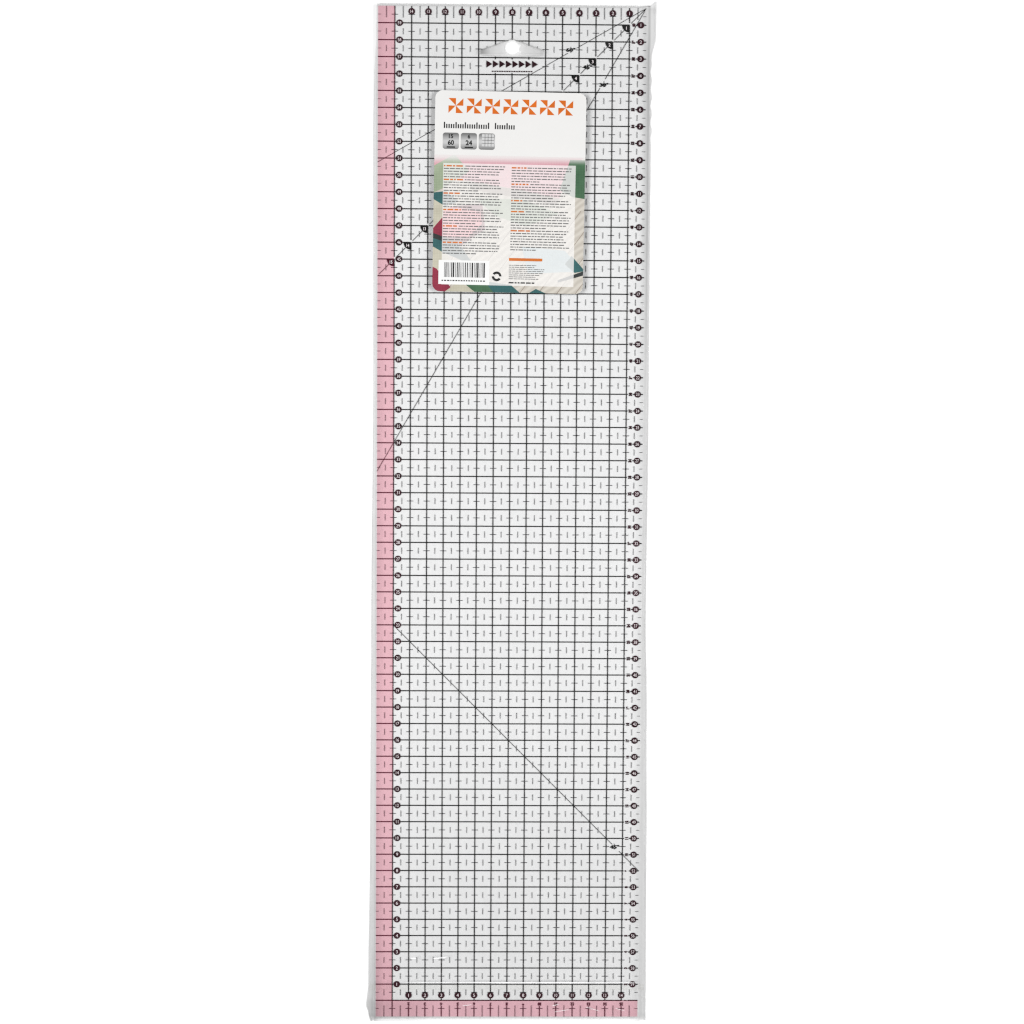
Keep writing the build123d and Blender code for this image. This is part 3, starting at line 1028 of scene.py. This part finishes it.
def weld_ribbon(side):
    """Points of a narrow ridged ribbon along one welded edge, as rows across the weld."""
    rows = []
    steps = 520
    for step in range(steps + 1):
        y = MOUTH_Y + (SLEEVE_TOP - MOUTH_Y) * step / steps
        edge = edge_beyond(side, y)
        width = min(WELD_WIDTH, (edge - CROWN_X) * 0.35)
        ridge = BEAD * (1 + math.sin(2 * math.pi * y / 2.4))
        row = []
        for share in (0.0, 0.25, 0.5, 0.75, 1.0):
            x = side * (edge - width * (1 - share) - 0.02)
            z = BEAD_Z + ridge * math.sin(math.pi * share)
            row.append((x, settle_ends(x, y), z))
        rows.append(row if side > 0 else row[::-1])
    return rows


def weld_seam():
    """The heat-welded beads down both sides and across the closed end."""
    shape = Shape()
    for side in (-1, 1):
        add_sheet(shape, weld_ribbon(side), BEAD)
    left, right = left_edge(SLEEVE_TOP) + 0.6, right_edge(SLEEVE_TOP) - 0.6
    steps = 150
    xs = [left + (right - left) * step / steps for step in range(steps + 1)]
    rows = []
    for share in (0.0, 0.5, 1.0):
        y = END_FOOT_Y + 0.05 + (SLEEVE_TOP - END_FOOT_Y - 0.1) * share
        z = BEAD_Z + BEAD * math.sin(math.pi * share)
        rows.append([(x, settle_ends(x, y), z) for x in xs])
    add_sheet(shape, rows, BEAD)
    light = [0.985] * len(shape.points)
    welds = ["left_side_weld", "right_side_weld", "closed_end_weld"]
    piece("sleeve_weld_seam", shape, weld_film, "sleeve", welds, True, light)


def flap():
    """The mouth's flap, folded back under the sleeve, with eased corners and a waved free edge."""
    inset = 0.8
    xs = spaced(flap_low.x + inset, flap_high.x - inset, STEP) + [flap_high.x - inset]
    ys = spaced(flap_low.y, flap_high.y, 1.5) + [flap_high.y]
    corner = 3.0
    rows = []
    for y in ys:
        share = (y - flap_low.y) / (flap_high.y - flap_low.y)
        tuck = corner * ease((y - flap_high.y + corner) / corner)
        notch = corner * ease((flap_low.y + corner - y) / corner)
        narrow = 1 - (inset * share + tuck * 0.5 + notch) / flap_high.x
        sway = [y + share * (0.25 * wave(x, 0, 20, 11) - 0.25) for x in xs]
        rows.append([(x * narrow, waved, flap_high.z) for x, waved in zip(xs, sway)])
    shape = Shape()
    add_sheet(shape, rows, FILM)
    light = [0.985 if y > BOTTOM else CLEAR_END for x, y, z in shape.points]
    piece("closing_flap_film", shape, under_film, "flap", ["closing_flap"], True, light)


# ---- label ----

INK_LAYER = 0.006  # each print layer of the label's face stands this much above the last


def on_label_plane(u, v):
    """A place on the label's face: u to the right and v up from its centre."""
    cos, sin = math.cos(LABEL_TURN), math.sin(LABEL_TURN)
    return LABEL_CENTRE.x + u * cos - v * sin, LABEL_CENTRE.y + u * sin + v * cos


def rounded_box(u_from, u_to, v_from, v_to, radius, steps=5):
    """Outline of a rectangle with round corners, anticlockwise."""
    rim = []
    corners = ((u_to, v_to, 0), (u_from, v_to, 1), (u_from, v_from, 2), (u_to, v_from, 3))
    for u, v, quarter in corners:
        centre_u = u - radius if quarter in (0, 3) else u + radius
        centre_v = v - radius if quarter in (0, 1) else v + radius
        for step in range(steps + 1):
            angle = math.pi / 2 * (quarter + step / steps)
            rim.append((centre_u + radius * math.cos(angle), centre_v + radius * math.sin(angle)))
    return rim


def clipped(outline, window):
    """What of an outline lies inside a convex window, both anticlockwise."""
    kept = list(outline)
    for index, (ax, ay) in enumerate(window):
        bx, by = window[(index + 1) % len(window)]
        source, kept = kept, []
        for place, point in enumerate(source):
            before = source[place - 1]
            inside = (bx - ax) * (point[1] - ay) - (by - ay) * (point[0] - ax)
            inside_before = (bx - ax) * (before[1] - ay) - (by - ay) * (before[0] - ax)
            if inside * inside_before < 0:
                share = inside_before / (inside_before - inside)
                cut_u = before[0] + (point[0] - before[0]) * share
                cut_v = before[1] + (point[1] - before[1]) * share
                kept.append((cut_u, cut_v))
            if inside >= 0:
                kept.append(point)
    return kept


PICTURE_TOP = PICTURE_FADE[1]
half_u, half_v = LABEL_WIDTH / 2, LABEL_LENGTH / 2
LABEL_EDGE = rounded_box(-half_u, half_u, -half_v, half_v, LABEL_CORNER)
PICTURE = clipped(LABEL_EDGE, [(-50, -70), (50, -70), (50, PICTURE_TOP), (-50, PICTURE_TOP)])


class LabelArt:
    """One print layer on the label, drawn in label places."""

    def __init__(self, layer):
        self.shape = Shape()
        self.low = LABEL_TOP + 0.002 + layer * INK_LAYER
        self.high = self.low + INK_LAYER * 0.7

    def patch(self, outline):
        if len(outline) > 2:
            self.shape.prism([on_label_plane(u, v) for u, v in outline], self.low, self.high)

    def block(self, u_from, u_to, v_from, v_to):
        self.patch([(u_from, v_from), (u_to, v_from), (u_to, v_to), (u_from, v_to)])

    def figure(self, text, u, v, height, bolder):
        x, y = on_label_plane(u, v)
        write_figure(self.shape, text, x, y, height, self.low, self.high, turn=LABEL_TURN, bolder=bolder)

    def make(self, name, material):
        piece(name, self.shape, material, "sleeve")


# the two colours of each kind of cloth pictured on the label
CLOTH = {
    "cream": ((0.42, 0.40, 0.32), (0.34, 0.32, 0.25)),
    "sage": ((0.27, 0.32, 0.22), (0.19, 0.235, 0.155)),
    "leaf": ((0.05, 0.12, 0.06), (0.03, 0.08, 0.04)),
    "teal": ((0.025, 0.10, 0.10), (0.014, 0.06, 0.065)),
    "crimson": ((0.22, 0.018, 0.04), (0.15, 0.012, 0.03)),
    "blush": ((0.54, 0.17, 0.20), (0.48, 0.13, 0.165)),
    "rose": ((0.50, 0.27, 0.305), (0.45, 0.23, 0.265)),
    "shade": ((0.30, 0.25, 0.22), (0.24, 0.20, 0.17)),
    "dark": ((0.02, 0.025, 0.025), (0.012, 0.014, 0.014)),
    "sky": ((0.31, 0.38, 0.40), (0.25, 0.325, 0.345)),
}
# the pictured cloth pieces, as (kind, corner places), drawn one over another
CLOTH_PIECES = (
    ("rose", ((-45, 22), (-45, 8), (-22, 6), (10, 1), (30, -3), (37, 16), (45, 22))),
    ("shade", ((-26, 6), (-20, 5.4), (10, 1), (30, -3), (28, -7), (8, -3.5), (-22, 1))),
    ("sage", ((-45, 15), (-45, -1), (-39, 2), (-24, 12), (-33, 22))),
    ("leaf", ((45, 20), (36, 20), (30, 2), (38, -2), (45, -3))),
    ("sage", ((-20, -4), (8, -4), (30, -12), (10, -20), (-8, -14))),
    ("teal", ((-45, -5), (-45, -1), (-38, 0), (-30, -6), (-38, -9))),
    ("cream", ((-45, -5), (-38, -9), (-32, -16), (-45, -21))),
    ("crimson", ((-45, -22), (-34, -9), (-16, -7), (-14, -22), (-28, -32), (-45, -25))),
    ("blush", ((-39.2, -12), (-34, -9), (-17, -12), (-16, -19), (-24, -27), (-39.2, -27))),
    ("dark", ((-45, -25), (-30, -30), (-30, -33), (-45, -28))),
    ("teal", ((-45, -28), (-28, -33), (-20, -44), (-45, -34))),
    ("cream", ((-45, -33), (-36, -38), (-30, -52), (-45, -45))),
    ("crimson", ((-45, -43), (-34, -57), (-39, -61), (-46, -61))),
    ("cream", ((-38, -60), (-29, -53.5), (-18, -60))),
    ("leaf", ((-28, -53), (-12, -53), (-4, -60), (-19, -60))),
    ("teal", ((-14, -53), (2, -55), (8, -60), (-8, -60))),
    ("sky", ((8, -32), (34, -34), (45, -46), (12, -48))),
    ("teal", ((45, -44.5), (38, -37), (34, -42), (40, -47), (45, -46))),
    ("dark", ((45, -46), (30, -51.5), (30, -53), (45, -48.5))),
    ("teal", ((12, -60), (17, -57), (24, -60))),
)


def pictured_cloth():
    """The label's picture: pale boards with cut patchwork cloth lying on them."""
    boards = LabelArt(0)
    boards.patch(PICTURE)
    boards.make("label_picture_boards", plank_paint())
    joints = LabelArt(1)
    for start in range(-70, 60, 11):
        joint = [(start, -60), (start + 0.35, -60), (start + 36.35, -10), (start + 36, -10)]
        joints.patch(clipped(joint, PICTURE))
    joints.make("label_picture_joints", print_paint("label_joints", rgb(0.20, 0.15, 0.12), weave=0.1))
    for number, (cloth, corners) in enumerate(CLOTH_PIECES):
        art = LabelArt(2 + number % 6)
        corners = list(corners)
        turning = sum((b[0] - a[0]) * (b[1] + a[1]) for a, b in zip(corners, corners[1:] + corners[:1]))
        art.patch(clipped(corners[::-1] if turning > 0 else corners, PICTURE))
        first, second = CLOTH[cloth]
        material = print_paint(f"label_{cloth}_{number + 1}", rgb(*first), rgb(*second), 0.3)
        art.make(f"label_cloth_{number + 1}", material)


def quilt_blocks():
    """A band of plain orange pinwheel blocks where a name would be."""
    art = LabelArt(0)
    count = 7
    size = 8.8
    pitch = 10.9
    for index in range(count):
        u = (index - (count - 1) / 2) * pitch
        v = 50.6
        for quarter in range(4):
            angle = math.pi / 2 * quarter
            cos, sin = math.cos(angle), math.sin(angle)
            corners = ((0, 0), (size / 2, 0), (size / 2, size / 2))
            art.patch([(u + a * cos - b * sin, v + a * sin + b * cos) for a, b in corners])
    art.make("label_orange_blocks", print_paint("label_orange", rgb(0.55, 0.115, 0.006)))


def word_row(art, u_from, u_to, v, height, widest):
    """A line of unreadable word-like dashes."""
    u = u_from
    while u < u_to - height:
        length = min(random.uniform(height, widest), u_to - u)
        art.block(u, u + length, v - height / 2, v + height / 2)
        u += length + height * 0.75


def title():
    """Heading as plain upright strokes in two word lengths."""
    art = LabelArt(0)
    foot, tall, stroke = 37.2, 2.5, 0.8
    for place in range(31):
        if place in (20, 21):
            continue
        u = -39.7 + place * 1.38
        rise = 1.2 if place in (0, 5, 9, 14, 19, 22, 27) else 0.0
        art.block(u, u + stroke, foot, foot + tall + rise)
    art.make("label_heading", print_paint("label_black", grey(0.012)))


def size_panels():
    """Three small silver panels: the scale in centimetres, in inches, and a sheet with its strip."""
    art = LabelArt(0)
    lefts = (-40.2, -29.5, -18.8)
    for left in lefts:
        art.patch(rounded_box(left, left + 9.7, 24.9, 34.6, 1.5))
    art.make("label_silver_panels", foil_paint())
    figures = LabelArt(1)
    for left, upper, lower in ((lefts[0], "15", "60"), (lefts[1], "6", "24")):
        figures.figure(upper, left + 4.9, 32.5, 2.5, 0.04)
        figures.figure(lower, left + 4.9, 28.8, 3.0, 0.04)
        figures.block(left + 2.4, left + 7.4, 25.7, 26.5)
    figures.make("label_panel_figures", print_paint("label_panel_ink", grey(0.008)))
    left = lefts[2]
    window = LabelArt(1)
    window.block(left + 1.9, left + 9.2, 26.9, 34.1)
    window.make("label_panel_window", print_paint("label_pale_grey", grey(0.52)))
    grid = LabelArt(2)
    for line in range(1, 4):
        u = left + 1.9 + line * 1.85
        v = 26.9 + line * 1.8
        grid.block(u - 0.12, u + 0.12, 26.9, 34.1)
        grid.block(left + 1.9, left + 9.2, v - 0.12, v + 0.12)
    grid.make("label_panel_grid", print_paint("label_grid_ink", grey(0.05)))


TEXT_PITCH = 1.62


def text_panel():
    """The pale panel, with two columns of unreadable print and orange lead-ins."""
    panel = LabelArt(10)
    panel.block(-39.6, 39.4, -55.4, 16.6)
    panel.make("label_text_panel", haze_print("label_panel_white", rgb(0.97, 0.96, 0.95), 0.46))
    body = LabelArt(11)
    lead = LabelArt(11)
    columns = (
        (-39.2, -2.6, 15.0, 33, (0, 5, 10, 16, 22, 28)),
        (1.2, 37.2, 14.6, 31, (0, 6, 12, 16, 23)),
    )
    for u_from, u_to, v_top, rows, leads in columns:
        for row in range(rows):
            v = v_top - row * TEXT_PITCH
            start = u_from
            if row in leads:
                start = u_from + random.uniform(7.0, 13.0)
                word_row(lead, u_from, start - 0.6, v, 0.85, 4.0)
            last = row + 1 in leads or row == rows - 1
            stop = u_to - random.uniform(0.0, 4.0) - (random.uniform(8, 20) if last else 0)
            word_row(body, start, stop, v, 0.6, 3.4)
    for row in range(8):
        word_row(body, 0.6, 22 - random.uniform(0, 6), -43.2 - row * 1.15, 0.42, 3.0)
    body.make("label_small_print", print_paint("label_text_grey", grey(0.13)))
    lead.block(0.6, 20.5, -40.6, -38.9)
    lead.make("label_orange_print", print_paint("label_orange_small", rgb(0.50, 0.13, 0.02)))


def bar_block():
    """A white box of plain bars, and a plain ring beside it."""
    box = LabelArt(12)
    box.block(-41.4, -11.0, -55.2, -40.9)
    white, off_white = rgb(0.66, 0.66, 0.655), rgb(0.645, 0.645, 0.64)
    box.make("label_bar_box", print_paint("label_box_white", white, off_white))
    bars = LabelArt(13)
    u = -38.0
    while u < -14.0:
        width = random.choice((0.3, 0.3, 0.6, 0.9))
        bars.block(u, u + width, -51.0, -42.2)
        u += width + random.choice((0.3, 0.45, 0.6))
    word_row(bars, -39.5, -13.5, -53.0, 0.7, 1.6)
    sides = 32
    for index in range(sides):
        if index % 16 < 13:
            corners = []
            for radius, step in ((1.5, 0), (2.9, 0), (2.9, 1), (1.5, 1)):
                angle = 2 * math.pi * (index + step) / sides
                corners.append((-6.6 + radius * math.cos(angle), -50.0 + radius * math.sin(angle)))
            bars.patch(corners)
    word_row(bars, 0.6, 16.0, -53.6, 0.8, 3.0)
    bars.make("label_bars", print_paint("label_bar_ink", grey(0.012)))


def label():
    quilt_blocks()
    title()
    size_panels()
    pictured_cloth()
    text_panel()
    bar_block()


# ---- carried-over CAD nodes ----


def cad_materials():
    """Finished materials for the CAD nodes that stay."""
    kept = {
        "acrylic_blank": acrylic,
        "seam_allowance_tint": pink_ink,
        "lengthwise_grid_lines": black_ink,
        "edge_half_centimetre_ticks": grey_ink,
        "angle_guide_lines": black_ink,
        "flap_glue_strip": glue,
        "label_glue": glue,
        "label_paper": paper,
    }
    for node, material in kept.items():
        mesh = frame["nodes"][node].data
        mesh.materials.clear()
        mesh.materials.append(material)


# ---- floor, light and camera ----

FLOOR_HALF = 4.0
FLOOR_GAP = 0.1  # the floor lies this far below the flap, in millimetres
LIGHT_POWER = 13.0
LIGHT_SIZE = (0.7, 0.45)
LIGHT_SIDE, LIGHT_HEIGHT = 0.72, 0.88
ROOM_LIGHT = 0.12  # light from the dim room round the softboxes
ROOM_SEEN = 0.9  # the backdrop's look beyond the floor
PALE = 0.80
FLOOR_GLOW = 0.78  # the far floor's own light
GLOW_REACH = (0.75, 1.9)  # metres from the middle where the glow starts and is full


def floor():
    """A pale floor that glows where the softboxes no longer reach it."""
    paint = Paint("floor")
    cloud = paint.clouds(90.0)
    colour = paint.blend(cloud, grey(PALE), grey(PALE * 0.995))
    away = paint.node("VectorMath", {0: paint.place}, operation="LENGTH").outputs["Value"]
    glow = paint.spread(away, 0.0, FLOOR_GLOW, *GLOW_REACH)
    shader = paint.solid(Base_Color=colour, Roughness=0.9, IOR=1.05, Emission_Color=grey(1.0),
                         Emission_Strength=glow)
    material = paint.done(shader)
    z = -FLOOR_GAP * MM
    corners = [(-1, -1), (1, -1), (1, 1), (-1, 1)]
    mesh = bpy.data.meshes.new("floor")
    mesh.from_pydata([(FLOOR_HALF * x, FLOOR_HALF * y, z) for x, y in corners], [], [(0, 1, 2, 3)])
    mesh.materials.append(material)
    made = place_object("floor", mesh)


def softbox(name, place):
    """A wide lamp aimed at the middle of the ruler."""
    lamp = bpy.data.lights.new(name, "AREA")
    lamp.shape = "RECTANGLE"
    lamp.size, lamp.size_y = LIGHT_SIZE
    lamp.energy = LIGHT_POWER
    made = place_object(name, lamp)
    made.location = place
    made.rotation_euler = (-Vector(place)).to_track_quat("-Z", "Y").to_euler()
    made.visible_camera = False


def lights():
    for name, side in (("left_softbox", -1), ("right_softbox", 1)):
        softbox(name, (side * LIGHT_SIDE, 0.0, LIGHT_HEIGHT))
    world = bpy.data.worlds.new("studio")
    world.use_nodes = True
    nodes, links = world.node_tree.nodes, world.node_tree.links
    nodes.clear()
    path = nodes.new("ShaderNodeLightPath")
    choose = nodes.new("ShaderNodeMixShader")
    output = nodes.new("ShaderNodeOutputWorld")
    links.new(path.outputs["Is Camera Ray"], choose.inputs[0])
    for slot, level in ((1, ROOM_LIGHT), (2, ROOM_SEEN)):
        room = nodes.new("ShaderNodeBackground")
        room.inputs["Color"].default_value = grey(level)
        links.new(room.outputs[0], choose.inputs[slot])
    links.new(choose.outputs[0], output.inputs[0])
    bpy.context.scene.world = world


CAMERA_PLACE = (-10.85, 34.1, 858.3)
CAMERA_TURNS = (("X", -2.03), ("Y", -0.823), ("Z", 0.302))
LENS = 50.0


def camera():
    data = bpy.data.cameras.new("camera")
    data.lens = LENS
    data.sensor_width = 36.0
    data.clip_start = 0.01
    made = place_object("camera", data)
    matrix = Matrix.Translation(Vector(CAMERA_PLACE) * MM)
    for axis, degrees in CAMERA_TURNS:
        matrix = matrix @ Matrix.Rotation(math.radians(degrees), 4, axis)
    made.matrix_world = matrix
    bpy.context.scene.camera = made


def studio():
    floor()
    lights()
    camera()
    scene = bpy.context.scene
    scene.view_settings.view_transform = "Standard"
    scene.cycles.transparent_max_bounces = 40
    scene.cycles.min_transparent_bounces = 40
    scene.cycles.min_light_bounces = 4
    scene.cycles.filter_width = 1.3


studio()
cad_materials()
printed_scale()
front_film()
bright_creases()
back_film()
weld_seam()
flap()
label()
